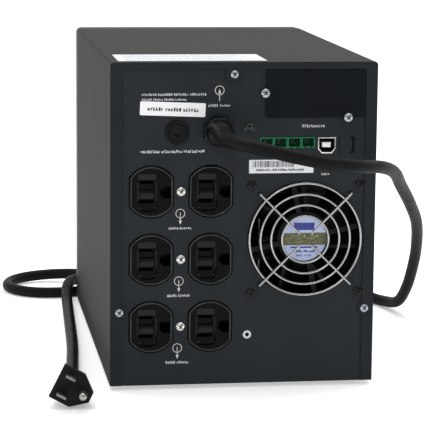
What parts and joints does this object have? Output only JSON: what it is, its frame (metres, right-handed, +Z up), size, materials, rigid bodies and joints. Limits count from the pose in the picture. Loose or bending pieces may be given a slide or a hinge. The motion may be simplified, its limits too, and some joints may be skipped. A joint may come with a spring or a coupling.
{
  "type": "uninterruptible power supply",
  "caption": "Tower battery backup with rear sockets, guarded fan, breaker, signal ports and a mains lead that loops round the case to a three-pin plug.",
  "frame": {"origin": "on the floor, below the centre of the case", "axes": "the socket panel faces -Y, the front bezel +Y, +Z is up"},
  "size_m": [0.3052, 0.4558, 0.2162],
  "materials": {
    "panel_paint": "fine textured semi-matte",
    "cover_paint": "fine textured semi-matte",
    "inner_steel": "galvanised",
    "screw_steel": "zinc plated",
    "bright_nickel": "polished",
    "grey_metal": "dull",
    "socket_plastic": "glossy",
    "black_plastic": "satin",
    "black_nylon": "satin",
    "cord_pvc": "satin",
    "foot_rubber": "matte",
    "brass": "satin",
    "green_plastic": "satin",
    "white_plastic": "satin",
    "label_white": "satin",
    "label_silver": "satin",
    "label_fan": "satin",
    "board_green": "solder mask",
    "sink_aluminium": "extruded",
    "core_steel": "laminated",
    "copper_winding": "enamelled copper",
    "sleeve_blue": "sleeved",
    "battery_case": "moulded",
    "lead_red": "satin",
    "lead_black": "satin",
    "bezel_plastic": "textured",
    "window_smoke": "smoked",
    "lens": "diffuse",
    "button_grey": "satin"
  },
  "bodies": {
    "case": {"base_pan": "inner_steel", "rear_panel": "panel_paint", "top_cover": "cover_paint", "cover_screws": "screw_steel", "front_frame": "inner_steel", "divider_wall": "inner_steel", "front_skirt": "bezel_plastic", "rubber_feet": "foot_rubber", "slot_cover_plate": "panel_paint", "slot_plate_screws": "screw_steel", "card_guides": "black_plastic", "outlet_upper": "socket_plastic", "outlet_middle": "socket_plastic", "outlet_lower": "socket_plastic", "outlet_contacts": "brass", "outlet_screws": "bright_nickel", "fan_frame": "black_plastic", "fan_label": "label_fan", "fan_guard": "bright_nickel", "fan_rivets": "black_nylon", "breaker_body": "black_plastic", "breaker_nut": "black_nylon", "strain_relief": "black_nylon", "power_cord": "cord_pvc", "plug_body": "cord_pvc", "plug_blades": "brass", "eyelet_clip": "grey_metal", "earth_insert": "grey_metal", "terminal_headers": "green_plastic", "terminal_pins": "brass", "usb_shell": "bright_nickel", "usb_tongue": "white_plastic", "port_blank": "panel_paint", "interface_board": "board_green", "model_label": "label_white", "barcode_label": "label_white", "top_label": "label_silver", "main_board": "board_green", "heatsinks": "sink_aluminium", "transformer_core": "core_steel", "transformer_winding": "copper_winding", "bulk_capacitors": "sleeve_blue", "relays": "black_plastic", "outlet_wiring": "lead_black", "battery_tray": "inner_steel", "battery_lower": "battery_case", "battery_middle": "battery_case", "battery_upper": "battery_case", "battery_tabs": "brass", "battery_leads": "lead_red", "battery_retainer": "inner_steel", "retainer_screws": "screw_steel", "display_board": "board_green", "status_leds": "lens"},
    "fan_rotor_body": {"fan_rotor": "black_plastic"},
    "breaker_button_body": {"breaker_button": "black_plastic"},
    "bezel_body": {"front_bezel": "bezel_plastic", "display_window": "window_smoke"},
    "on_button_body": {"on_button": "button_grey"},
    "off_button_body": {"off_button": "button_grey"}
  },
  "joints": [
    {"name": "fan_spin", "type": "hinge", "parent": "case", "child": "fan_rotor_body", "pos_m": [0.041, -0.1308, 0.0992], "axis": [0, 1, 0], "continuous": true},
    {"name": "breaker_reset", "type": "slide", "parent": "case", "child": "breaker_button_body", "axis": [0, -1, 0], "range_m": [0, 0.004]},
    {"name": "bezel_pull", "type": "slide", "parent": "case", "child": "bezel_body", "axis": [0, 1, 0], "range_m": [0, 0.02]},
    {"name": "on_press", "type": "slide", "parent": "bezel_body", "child": "on_button_body", "axis": [0, -1, 0], "range_m": [0, 0.0015], "stiffness_N_per_m": 300},
    {"name": "off_press", "type": "slide", "parent": "bezel_body", "child": "off_button_body", "axis": [0, -1, 0], "range_m": [0, 0.0015], "stiffness_N_per_m": 300}
  ]
}
